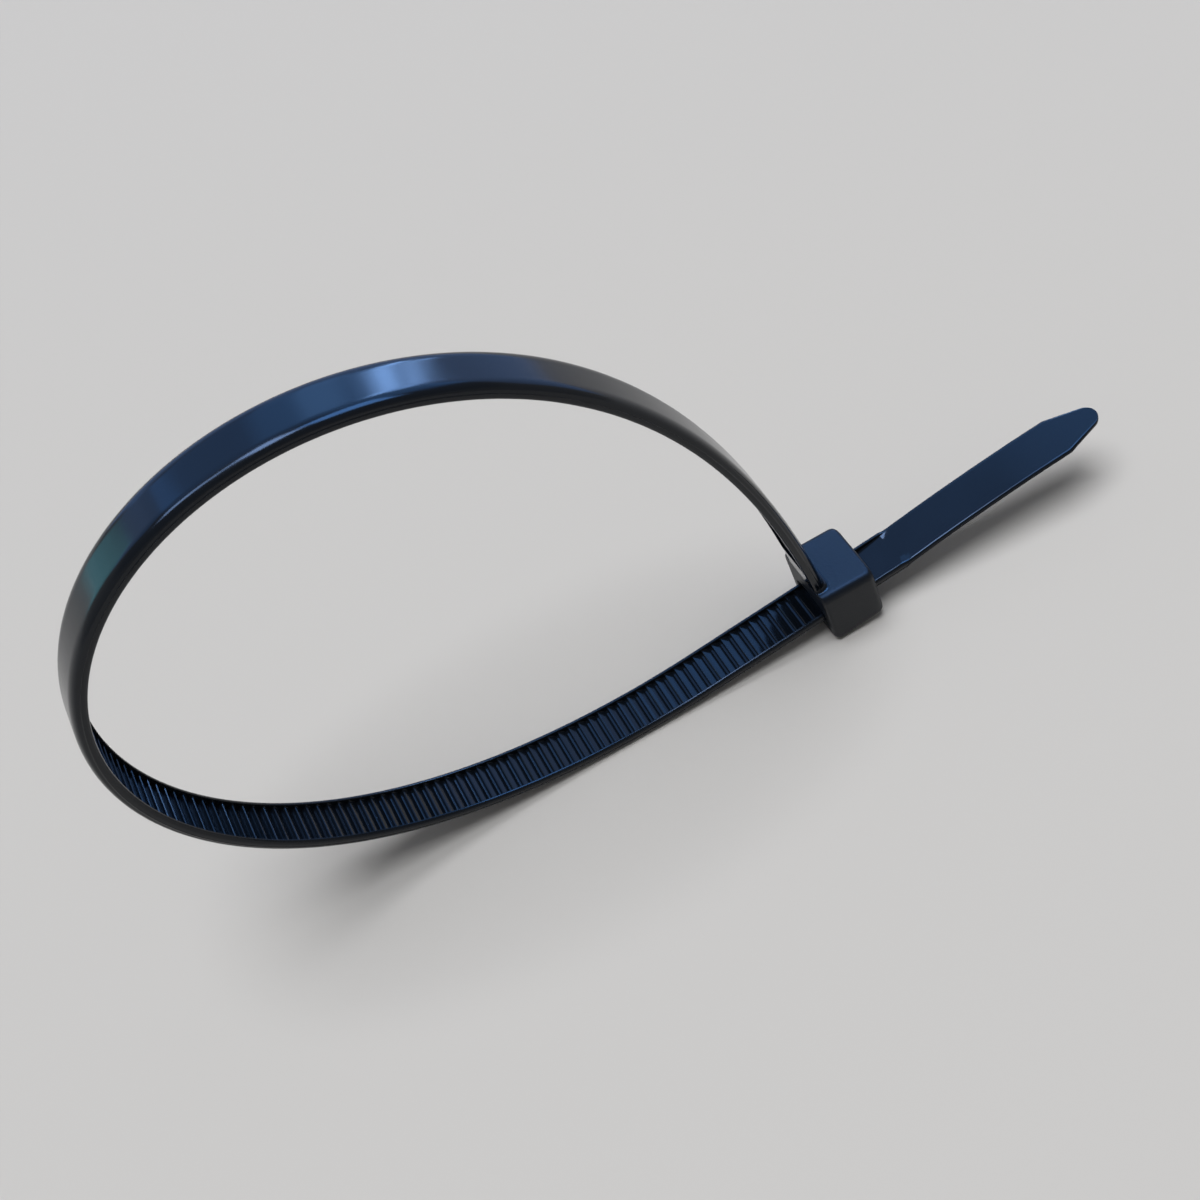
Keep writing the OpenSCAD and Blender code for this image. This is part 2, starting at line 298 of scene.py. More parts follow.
@dataclass(frozen=True)
class RestingPose:
    """Turns the loop's plane until the head's foot and the lower run touch one level line."""

    path: LoopPath

    def foot_round(self) -> np.ndarray:
        """Centre of the round between the head's entry face and its foot.

        It lies the radius behind the entry face and the radius above the sloped foot.

        Returns:
            The point (x, level) in the loop's plane.
        """
        head, r = self.path.head, self.path.head.foot_cross
        t = np.radians(head.foot_rise)
        return np.array([r, -head.foot + r * np.tan(t) + r / np.cos(t)])

    def tilt(self) -> float:
        """Angle of the line that touches the foot's round and one arc of the lower run.

        A line that touches two rounds is turned from the line between their centres by
        arccos(difference of the radii / distance of the centres). The arc is the one whose own
        headings hold the angle.

        Returns:
            The angle in degrees.
        """
        path = self.path
        d = path.centres() - self.foot_round()
        gap = path.radii + path.strap.thickness / 2 - path.head.foot_cross
        reach = np.clip(gap / np.linalg.norm(d, axis=1), -1, 1)
        angle = 90 - np.degrees(np.arctan2(d[:, 1], d[:, 0])) + np.degrees(np.arccos(reach))
        bend = path.slot_heading - path.headings
        lower = np.arange(path.arcs) < path.arcs / 2
        fits = (angle >= bend[:-1]) & (angle < bend[1:]) & lower
        return float(angle[np.argmax(fits)])

    def sides(self) -> tuple[float, float]:
        """Least and greatest x of the whole tie once it is turned.

        The extremes are looked for at each quarter of an arc on the outer face, and at the tail's tip.

        Returns:
            The two places in the turned plane, in millimetres.
        """
        path, strap = self.path, self.path.strap
        quarter_arcs = path.slot_run + np.arange(4 * path.arcs + 1) * path.arc / 4
        s = np.append(quarter_arcs, path.tip_end)
        tail_face = strap.thickness / 2 - strap.blade_step - strap.tip
        level = np.where(s < 0, tail_face, -strap.thickness / 2)
        centre, turned = path.frames(s)
        x = (centre + turned * level[:, None]) @ along(-self.tilt())
        return float(x.min()), float(x.max())

    def place(self, points: np.ndarray) -> np.ndarray:
        """Points of the loop's plane turned by the tilt, centred and set down on the level.

        Args:
            points: Array (..., 3) of x along the slot, y up from it and z across it, in millimetres.

        Returns:
            The same points in the shared frame, in metres.
        """
        a = np.radians(self.tilt())
        x = points[..., 0] * np.cos(a) - points[..., 1] * np.sin(a)
        z = points[..., 0] * np.sin(a) + points[..., 1] * np.cos(a)
        foot = self.foot_round()
        drop = foot[0] * np.sin(a) + foot[1] * np.cos(a) - self.path.head.foot_cross
        return np.stack([x - sum(self.sides()) / 2, -points[..., 2], z - drop], axis=-1) * MM


def ring_faces(rings: int, columns: int, joined: bool) -> list[tuple[int, ...]]:
    """Quads between neighbouring closed rings of points stored ring by ring.

    Args:
        rings: Number of rings.
        columns: Number of points in a ring.
        joined: Joins the last ring to the first; otherwise each of the two is closed by one face.

    Returns:
        Faces as tuples of indices.
    """
    i = np.arange(rings if joined else rings - 1)[:, None]
    j = np.arange(columns)[None, :]
    i2, j2 = (i + 1) % rings, (j + 1) % columns
    corners = [i * columns + j, i2 * columns + j, i2 * columns + j2, i * columns + j2]
    faces = [tuple(q) for q in np.stack(corners, axis=-1).reshape(-1, 4).tolist()]
    if not joined:
        faces.append(tuple(range(columns))[::-1])
        faces.append(tuple(range((rings - 1) * columns, rings * columns)))
    return faces


def signed_volume(mesh: bpy.types.Mesh) -> float:
    """Volume inside a closed mesh: the sum over its triangles of a . (b x c) / 6.

    Args:
        mesh: A mesh without open edges.

    Returns:
        The volume in cubic metres, below zero where the faces point inwards.
    """
    mesh.calc_loop_triangles()
    corners = np.empty(len(mesh.loop_triangles) * 3, dtype=np.int32)
    mesh.loop_triangles.foreach_get("vertices", corners)
    places = np.empty(len(mesh.vertices) * 3)
    mesh.vertices.foreach_get("co", places)
    a, b, c = places.reshape(-1, 3)[corners.reshape(-1, 3)].transpose(1, 0, 2)
    return float(np.einsum("ij,ij->i", a, np.cross(b, c)).sum() / 6)


def make_piece(name: str, points: np.ndarray, faces: list[tuple[int, ...]], sharp: float,
               material: bpy.types.Material) -> bpy.types.Object:
    """Makes a mesh object at the origin, with outward faces and edges sharp past an angle.

    Args:
        name: Object name.
        points: Vertices in the shared frame, in metres.
        faces: Tuples of vertex indices.
        sharp: Angle in degrees past which an edge is drawn sharp.
        material: Finish of the whole piece.

    Returns:
        The linked object.
    """
    mesh = bpy.data.meshes.new(name)
    mesh.from_pydata(points.reshape(-1, 3).tolist(), [], faces)
    mesh.validate()
    mesh.shade_smooth()
    mesh.set_sharp_from_angle(angle=np.radians(sharp))
    mesh.materials.append(material)
    obj = bpy.data.objects.new(name, mesh)
    bpy.context.scene.collection.objects.link(obj)
    volume = signed_volume(mesh)
    if volume < 0:
        mesh.flip_normals()
    log.info("%s: %d faces, %.1f mm3", name, len(mesh.polygons), abs(volume) / MM**3)
    return obj


def hex_to_linear(code: str) -> tuple[float, float, float, float]:
    """An sRGB hex colour as linear light, by the sRGB curve.

    Args:
        code: Colour such as "#cdcccb".

    Returns:
        Red, green, blue and a full alpha.
    """
    parts = [int(code.lstrip("#")[i:i + 2], 16) / 255 for i in (0, 2, 4)]
    linear = [c / 12.92 if c <= 0.04045 else ((c + 0.055) / 1.055) ** 2.4 for c in parts]
    return (*linear, 1.0)


def add_node(tree: bpy.types.NodeTree, kind: str, settings: dict[str, object] | None = None,
             inputs: dict[str | int, object] | None = None) -> bpy.types.Node:
    """Adds a node, sets its properties, and sets or links its inputs.

    Args:
        tree: Node tree to add to.
        kind: Blender's type name of the node.
        settings: Properties of the node by name.
        inputs: Socket values by name or index; an output socket is linked instead.

    Returns:
        The new node.
    """
    node = tree.nodes.new(kind)
    for key, value in (settings or {}).items():
        setattr(node, key, value)
    for key, value in (inputs or {}).items():
        if isinstance(value, bpy.types.NodeSocket):
            tree.links.new(value, node.inputs[key])
        else:
            node.inputs[key].default_value = value
    return node


@dataclass(frozen=True)
class Skin:
    """What the steel of a mould leaves on nylon; the grain's size and depth are in millimetres."""

    name: str
    grain: float
    depth: float
    strength: float
    gloss: tuple[float, float]
    specular: float


class Mould(Enum):
    """How the steel of the mould was finished, which the nylon takes over."""

    # A wet gloss with a slight flow ripple of about 3 mm
    POLISHED = Skin("polished", 3.0, 0.02, 0.15, (0.13, 0.19), 0.24)
    # A satin skin with a fine grain of about 0.25 mm
    ERODED = Skin("spark_eroded", 0.25, 0.03, 0.5, (0.38, 0.46), 0.22)


@dataclass(frozen=True)
class MouldedNylon:
    """Nylon 6/6 with carbon black, injection moulded; handling leaves its gloss uneven in patches."""

    mould: Mould
    colour: str = "#0d1219"
    ior: float = 1.53
    patch: float = 6.0
    patch_range: tuple[float, float] = (0.3, 0.7)

    def build(self) -> bpy.types.Material:
        """Makes the material from a Principled shader with fine noise on its gloss and relief.

        Returns:
            The material, named for the mould's finish.
        """
        skin = self.mould.value
        material = bpy.data.materials.new(f"nylon_{skin.name}")
        material.use_nodes = True
        tree = material.node_tree
        tree.nodes.clear()
        place = add_node(tree, "ShaderNodeTexCoord")
        relief = add_node(tree, "ShaderNodeTexNoise", inputs={
            "Vector": place.outputs["Object"], "Scale": 1 / (skin.grain * MM),
            "Detail": 3.0, "Roughness": 0.5})
        bump = add_node(tree, "ShaderNodeBump", inputs={
            "Height": relief.outputs["Fac"], "Strength": skin.strength, "Distance": skin.depth * MM})
        wear = add_node(tree, "ShaderNodeTexNoise", inputs={
            "Vector": place.outputs["Object"], "Scale": 1 / (self.patch * MM), "Detail": 2.0})
        rough = add_node(tree, "ShaderNodeMapRange", inputs={
            "Value": wear.outputs["Fac"], "From Min": self.patch_range[0], "From Max": self.patch_range[1],
            "To Min": skin.gloss[0], "To Max": skin.gloss[1]})
        shader = add_node(tree, "ShaderNodeBsdfPrincipled", inputs={
            "Base Color": hex_to_linear(self.colour), "Roughness": rough.outputs["Result"],
            "IOR": self.ior, "Specular IOR Level": skin.specular, "Normal": bump.outputs["Normal"]})
        add_node(tree, "ShaderNodeOutputMaterial", inputs={"Surface": shader.outputs["BSDF"]})
        return material


@dataclass
class Moulding:
    """What the sub-assemblies share: the path they lie on, the pose they rest in and their finish."""

    path: LoopPath
    pose: RestingPose
    finish: bpy.types.Material


@dataclass
class Strap(Moulding):
    """The ladder strap with its pull tail and neck: one section swept along the path."""

    detail: StrapDetail = StrapDetail()
    tip_from: float = 0.12        # angle in radians of the first ring on the tip's arc
    tip_rings: int = 12
    blade_rings: int = 40
    ramp_rings: int = 14
    neck_rings: int = 10
    root_rings: int = 4
    rail_points: int = 5
    face_points: int = 9
    on_floor: float = 0.6         # shares of the half width at which the flats have a point
    on_face: float = 0.5
    sharp: float = 28.0

    def teeth(self) -> tuple[float, int]:
        """Where the ladder starts, at the head's exit, and how many whole teeth fit up to the neck.

        Returns:
            The start's distance along the path, and the number of teeth.
        """
        start = -self.path.head.length
        count = int((self.path.length - self.path.strap.neck_plain - start) // self.path.strap.pitch)
        return start, count

    def stations(self) -> np.ndarray:
        """Distances of the rings: close at the tip's arc and at each tooth's corners, wider elsewhere.

        The first and last ring of each part stand off its ends by hundredths of a millimetre, so that
        no two rings fall together.

        Returns:
            Rising distances along the path, in millimetres.
        """
        path, z, d = self.path, self.path.strap, self.detail
        start, count = self.teeth()
        tip_turn = np.linspace(self.tip_from, np.pi / 2, self.tip_rings)
        tip_arc = path.tip_end + z.tip_radius * (1 - np.cos(tip_turn))
        blade = np.linspace(path.tip_end + z.tip_radius, path.rails_end, self.blade_rings)[1:]
        ends = [path.tip_end + 0.001, path.tip_end + z.tip_length]
        ramp = np.linspace(path.rails_end, start, self.ramp_rings)[1:]
        crest, steep = z.pitch - z.crest_land, z.pitch - d.steep_run
        in_tooth = np.array([
            0.02, z.valley_land, 0.5 * (z.valley_land + crest), crest - d.crest_round,
            crest + d.crest_past, steep - d.crest_break, steep, z.pitch - 0.005])
        ladder = (start + z.pitch * np.arange(count)[:, None] + in_tooth[None, :]).ravel()
        fillet_from = path.length - d.neck_fillet
        neck = np.linspace(start + count * z.pitch + 0.01, fillet_from, self.neck_rings)
        fillet = fillet_from + d.neck_fillet * np.sin(quarter_turn(self.neck_rings))[1:]
        root = np.linspace(path.length, path.length + d.root_depth, self.root_rings)[1:]
        return np.unique(np.concatenate([ends, tip_arc, blade, ramp, ladder, neck, fillet, root]).round(5))

    def half_width(self, s: np.ndarray) -> np.ndarray:
        """Half width: the tip's arc, then its straight taper, then the full width; it flares at the neck.

        The taper touches the tip's arc, so its lean is the corner's angle from the arc's centre less
        arcsin(radius / distance of the corner).

        Args:
            s: Distances along the path.

        Returns:
            Half widths in millimetres.
        """
        z = self.path.strap
        r, full = z.tip_radius, z.width / 2
        run = z.tip_length - r
        lean = np.arctan2(full, run) - np.arcsin(r / np.hypot(run, full))
        from_tip = s - self.path.tip_end
        arc = np.sqrt(np.clip(r**2 - (r - from_tip) ** 2, 0, None))
        taper = full - (z.tip_length - from_tip) * np.tan(lean)
        half = np.where(from_tip < r - r * np.sin(lean), arc, np.minimum(taper, full))
        return half + self.flare(s)

    def flare(self, s: np.ndarray) -> np.ndarray:
        """Quarter round that widens the neck just above the head's top: r - sqrt(r^2 - d^2).

        Args:
            s: Distances along the path.

        Returns:
            What is added on each side, in millimetres.
        """
        r = self.detail.neck_fillet
        d = np.clip(s - (self.path.length - r), 0, r)
        return r - np.sqrt(r * r - d * d)

    def top(self, s: np.ndarray) -> np.ndarray:
        """Level of the inner face: the rails, falling by the blade's step past their rounded end.

        Args:
            s: Distances along the path.

        Returns:
            Levels in millimetres.
        """
        z, d = self.path.strap, self.detail
        past = (self.path.rails_end + d.rails_fall_at - s) / d.rails_fall_run
        return z.thickness / 2 - z.blade_step * smooth_step(past)

    def bottom(self, s: np.ndarray) -> np.ndarray:
        """Level of the outer face: it steps up to the thin blade past the rails, then thins to the tip.

        Args:
            s: Distances along the path.

        Returns:
            Levels in millimetres.
        """
        z, d, rails_end = self.path.strap, self.detail, self.path.rails_end
        past = (rails_end + d.blade_step_at - s) / d.blade_step_run
        run = np.clip((rails_end - s) / (rails_end - self.path.tip_end), 0, 1)
        thick = z.blade + (z.tip - z.blade) * run
        blade_low = z.thickness / 2 - z.blade_step - thick
        outer = -z.thickness / 2 + d.drawn_in
        return outer + (blade_low - outer) * smooth_step(past) - self.flare(s)

    def floor(self, s: np.ndarray) -> np.ndarray:
        """Level of the channel's floor.

        Over one pitch it keeps the valley's level, climbs in a straight ramp, rounds over to the
        crest, keeps the crest's level and drops steeply back. On the tail it climbs from the first
        valley to the blade's face, and on the plain neck it lies level with the rails.

        Args:
            s: Distances along the path.

        Returns:
            Levels in millimetres.
        """
        z, d = self.path.strap, self.detail
        start, count = self.teeth()
        foot, head, steep = z.valley_land, z.pitch - z.crest_land, z.pitch - d.steep_run
        valley, crest = z.thickness / 2 - z.valley_depth, z.thickness / 2 - z.crest_depth
        below = d.crest_round * (crest - valley) / (head - foot)
        ladder = np.interp(
            np.mod(s - start, z.pitch),
            [0.0, foot, head - d.crest_round, head + d.crest_past, steep - d.crest_break, steep, z.pitch],
            [valley, valley, crest - below, crest, crest, crest - d.break_fall * d.crest_break, valley])
        climb = np.interp(s, [self.path.rails_end, start], [z.thickness / 2 - z.blade_step, valley])
        level = np.where(s < start, climb, np.where(s < start + count * z.pitch, ladder, self.top(s)))
        return np.minimum(level, self.top(s))

    def section(self, s: np.ndarray) -> np.ndarray:
        """Outline of the section at each distance.

        From the floor's middle: the channel's wall, the rail's top, its rounded outer edge, the side
        with its parting ridge, the wide flat round that crowns the outer face, and that face's middle;
        then mirrored. A round of radius r stands at r (1 - cos q) and r (1 - sin q) for q from 0 to 90
        degrees, and all the fine sizes shrink with the width k at the tip.

        Args:
            s: Distances of the rings.

        Returns:
            Array (rings, points, 2) of level and place across.
        """
        z, d = self.path.strap, self.detail
        w, top, low, floor = self.half_width(s), self.top(s), self.bottom(s), self.floor(s)
        k = np.clip(w / (z.width / 2), 0, 1)
        rail_r = z.rail_edge * k
        outer_r = np.minimum(z.outer_edge, d.outer_share * (top - low)) * k
        wall = w - z.rail * k - self.flare(s)
        part, land = low + d.parting_at * (top - low), d.parting_half * k
        side = w - d.parting_ridge * k
        side_top, side_low = w - d.draft * d.rail_draft * k, w - d.draft * k
        half = [
            (floor, 0 * w), (floor, wall * self.on_floor), (floor, wall - d.wall_foot * k),
            (floor + d.wall_foot * np.sign(top - floor), wall),
            (top - d.rail_break_depth * (top > floor + d.shallow), wall + d.wall_lean * k),
            (top, wall + d.rail_break_width * k)]
        half += [(top - rail_r * (1 - np.cos(q)), side_top - rail_r * (1 - np.sin(q)))
                 for q in quarter_turn(self.rail_points)]
        half += [(part + land, side), (part, w), (part - land, side)]
        half += [(low + outer_r * (1 - np.sin(q)), side_low - d.crown * outer_r * (1 - np.cos(q)))
                 for q in quarter_turn(self.face_points)]
        half += [(low, side_low * self.on_face)]
        right = np.stack([np.stack(p, axis=-1) for p in half], axis=1)
        middle = np.stack([low, 0 * w], axis=-1)[:, None, :]
        left = right[:, :0:-1, :] * np.array([1.0, -1.0])
        return np.concatenate([right, middle, left], axis=1)

    def lean_in(self, s: np.ndarray, level: np.ndarray) -> np.ndarray:
        """How far the neck's rings slide along the neck, so that they come to lie on the head's slope.

        The ring's plane has to turn by the neck's lean and the top's fall together; the turn grows
        from nothing to its full size just above the head's top.

        Args:
            s: Distances of the rings.
            level: Levels of each ring's points.

        Returns:
            Slides in millimetres, in the shape of the levels.
        """
        d = self.detail
        turn = np.tan(np.radians(self.path.neck_lean + self.path.head.top_fall))
        share = smooth_step((s - (self.path.length - d.lean_from)) / d.lean_run)
        return -level * turn * share[:, None]

    def build(self) -> bpy.types.Object:
        """Sweeps the section, closes both ends and lays the strap down.

        Returns:
            The strap's piece.
        """
        s = self.stations()
        section = self.section(s)
        centre, turned = self.path.frames(s)
        slide = self.lean_in(s, section[..., 0])
        plane = centre[:, None, :] + section[..., :1] * turned[:, None, :]
        plane = plane + slide[..., None] * along(self.path.headings[-1])
        points = np.concatenate([plane, section[..., 1:]], axis=-1)
        faces = ring_faces(*points.shape[:2], False)
        return make_piece("tie_strap", self.pose.place(points), faces, self.sharp, self.finish)


@dataclass
class Head(Moulding):
    """The locking head: a rounded tapered block round the slot, as one closed ring-shaped skin."""

    arc_points: int = 7
    flat_points: int = 6
    round_stations: int = 9
    flat_stations: int = 6
    entry_edge: float = 0.5       # share of the cross edge's round at the top of the entry
    slot_corner: float = 0.12
    arch_shoulder: float = 0.35
    arch_from: float = 0.12       # share of a quarter turn at which the arch leaves the mouth's side
    arch_power: float = 0.6       # below 1 the arch is fuller than an ellipse
    pocket_foot: float = 0.01
    pocket_break: float = 0.1
    lip: float = 0.1
    drawn_in: float = 0.006       # keeps the foot inside the solid's box
    sharp: float = 38.0

    def rounding(self, d: np.ndarray | float, r: float) -> np.ndarray:
        """How far a round draws a face in, at d from its end: r - sqrt(r^2 - (r - d)^2)."""
        inside = np.clip(r - np.asarray(d, float), 0, r)
        return r - np.sqrt(r * r - inside * inside)

    def outer_ring(self, x: float) -> np.ndarray:
        """Right half of the outer section, drawn in near both ends by their rounds.

        Args:
            x: Place along the slot.

        Returns:
            Array (points, 2) of level and place across.
        """
        h = self.path.head
        at_exit = self.rounding(h.length - x, h.cross_edge)
        top = h.top_at(x) - self.rounding(x, self.entry_edge * h.cross_edge) - at_exit
        foot = h.foot_at(x) + self.drawn_in + self.rounding(x, h.foot_cross) + at_exit
        half = h.width / 2 - self.rounding(x, h.entry_corner) - self.rounding(h.length - x, h.exit_corner)
        return self.half_ring(foot, top, half, h.foot_edge, h.top_edge)

    def half_ring(self, foot: float, top: float, half: float, foot_r: float, top_r: float) -> np.ndarray:
        """Half outline of a block: foot's middle, foot arc, side, top arc, and the top to its middle.

        Args:
            foot: Level of the foot.
            top: Level of the top.
            half: Half width.
            foot_r: Radius between foot and side.
            top_r: Radius between side and top.

        Returns:
            Array (points, 2) of level and place across.
        """
        q = quarter_turn(self.arc_points)
        foot_arc = np.stack([foot + foot_r * (1 - np.cos(q)), half - foot_r * (1 - np.sin(q))], axis=-1)
        top_arc = np.stack([top - top_r * (1 - np.sin(q)), half - top_r * (1 - np.cos(q))], axis=-1)
        steps = np.linspace(1, 0, self.flat_points)
        flat = np.stack([np.full(len(steps), top), (half - top_r) * steps], axis=-1)[1:]
        return np.concatenate([[[foot, 0.0]], foot_arc, top_arc, flat])

    def slot_ring(self, grow: float) -> np.ndarray:
        """Right half of the plain slot's section, a box with the strap's size and a gap round it.

        Args:
            grow: How far the slot is grown on all sides.

        Returns:
            Array (points, 2) of level and place across.
        """
        z, h = self.path.strap, self.path.head
        level = z.thickness / 2 + h.slot_gap + grow
        half = z.width / 2 + h.slot_gap + grow
        return self.half_ring(-level, level, half, self.slot_corner, self.slot_corner)

    def mouth_ring(self, grow: float) -> np.ndarray:
        """Right half of the mouth at the entry: the slot's foot and sides under a low arch.

        The arch rises by the sine of its turn and closes in by a power of the cosine.

        Args:
            grow: How far the mouth is grown on all sides.

        Returns:
            Array (points, 2) of level and place across, as many as the slot's.
        """
        ring = self.slot_ring(grow)
        side_end = 1 + self.arc_points
        half, count = ring[side_end, 1], len(ring) - side_end
        a = np.linspace(self.arch_from, 1.0, count) * np.pi / 2
        rise = self.path.head.mouth_top + grow - self.arch_shoulder
        arch = np.stack([self.arch_shoulder + rise * np.sin(a), half * np.cos(a) ** self.arch_power], axis=-1)
        arch[-1, 1] = 0.0
        ring[side_end:] = arch
        return ring

    def pocket_ring(self, grow: float) -> np.ndarray:
        """Right half of the slot with the pawl's pocket standing on it.

        Args:
            grow: How far both are grown on all sides.

        Returns:
            Array (points, 2) of level and place across, as many as the slot's.
        """
        z, h = self.path.strap, self.path.head
        ring = self.slot_ring(grow)
        half = z.width / 2 - z.rail - h.slot_gap + h.pocket_gap + grow
        top = float(h.top_at(h.length)) - h.roof + grow
        level = ring[-1, 0]
        pocket = [[level, half], [level + self.pocket_foot, half], [top - self.pocket_break, half],
                  [top, half - self.pocket_break], [top, 0.0]]
        ring[-len(pocket):] = pocket
        return ring

    def stations(self) -> np.ndarray:
        """Places along the slot at which the outside has a ring: close on the rounds of both ends.

        Returns:
            Rising places from the entry to the exit, in millimetres.
        """
        h = self.path.head
        swing = 1 - np.cos(quarter_turn(self.round_stations))
        entry_rounds = (self.entry_edge * h.cross_edge, h.entry_corner, h.foot_cross)
        entry = np.unique(np.outer(entry_rounds, swing).round(4))
        leave = h.length - np.unique(np.outer((h.cross_edge, h.exit_corner), swing).round(4))[::-1]
        flat = np.linspace(entry[-1], leave[0], self.flat_stations)[1:-1]
        return np.concatenate([entry, flat, leave])

    def rings(self) -> np.ndarray:
        """All rings of the skin, in order round the block's wall.

        The outside runs from the entry to the exit with rounded ends, the exit face leads in to the
        pocket and slot, the inside comes back to the mouth, and the entry face closes the skin.

        Returns:
            Array (rings, points, 3) of place along the slot, level and place across.
        """
        h = self.path.head
        pocket_x = h.mouth_length + h.root_wall
        halves = [(float(x), self.outer_ring(float(x))) for x in self.stations()]
        halves += [
            (h.length, self.pocket_ring(self.lip)), (h.length - self.lip, self.pocket_ring(0.0)),
            (pocket_x, self.pocket_ring(0.0)), (pocket_x, self.slot_ring(0.0)),
            (h.mouth_length, self.slot_ring(0.0)),
            (self.lip, self.mouth_ring(0.0)), (0.0, self.mouth_ring(self.lip))]
        full = []
        for x, right in halves:
            ring = np.concatenate([right, right[-2:0:-1] * np.array([1.0, -1.0])])
            full.append(np.column_stack([np.full(len(ring), x), ring]))
        return np.array(full)

    def build(self) -> bpy.types.Object:
        """Joins the rings into one closed skin and lays the head down.

        Returns:
            The head's piece.
        """
        points = self.rings()
        faces = ring_faces(*points.shape[:2], True)
        return make_piece("tie_head", self.pose.place(points), faces, self.sharp, self.finish)


@dataclass
class Pawl(Moulding):
    """The sprung tongue inside the head, with teeth that sit in the strap's valleys."""

    teeth: int = 3
    thickness: float = 0.9
    root_height: float = 1.5      # height of the root, in times the thickness
    root_overlap: float = 0.05
    gap: float = 0.07
    end_round: float = 0.05
    end_shrink: float = 0.04
    sharp: float = 30.0

    def outline(self) -> np.ndarray:
        """Side outline: the root, then each tooth's ramp, tip and steep face, and the back.

        Returns:
            Array (points, 2) of place along the slot and level.
        """
        z, h = self.path.strap, self.path.head
        surface = z.thickness / 2
        crest, valley = surface - z.crest_depth + self.gap, surface - z.valley_depth + self.gap
        root_x = h.mouth_length + h.root_wall - self.root_overlap
        low = surface + h.slot_gap + self.gap
        points = [[root_x, low + self.root_height * self.thickness], [root_x, low]]
        for j in range(self.teeth, 0, -1):
            back = h.length - j * z.pitch
            points += [[back - z.pitch + z.crest_land + self.gap, crest], [back - z.valley_land, valley],
                       [back - self.gap, valley], [back - self.gap, crest]]
        points.append([points[-1][0], crest + self.thickness])
        return np.array(points)

    def build(self) -> bpy.types.Object:
        """Carries the outline across the pocket, with slightly drawn-in ends.

        Returns:
            The pawl's piece.
        """
        z = self.path.strap
        outline = self.outline()
        half = z.width / 2 - z.rail - self.path.head.slot_gap
        inner = half - self.end_round
        middle = outline.mean(axis=0)
        rows = [(-half, self.end_shrink), (-inner, 0.0), (inner, 0.0), (half, self.end_shrink)]
        points = np.array([
            np.column_stack([outline + (middle - outline) * shrink, np.full(len(outline), across)])
            for across, shrink in rows])
        faces = ring_faces(*points.shape[:2], False)
        return make_piece("tie_pawl", self.pose.place(points), faces, self.sharp, self.finish)


@dataclass(frozen=True)
class Card:
    """A glowing card: its place and two sides in metres, its power in watts and its sRGB colour."""

    name: str
    place: tuple[float, float, float]
    size: tuple[float, float]
    power: float
    colour: str


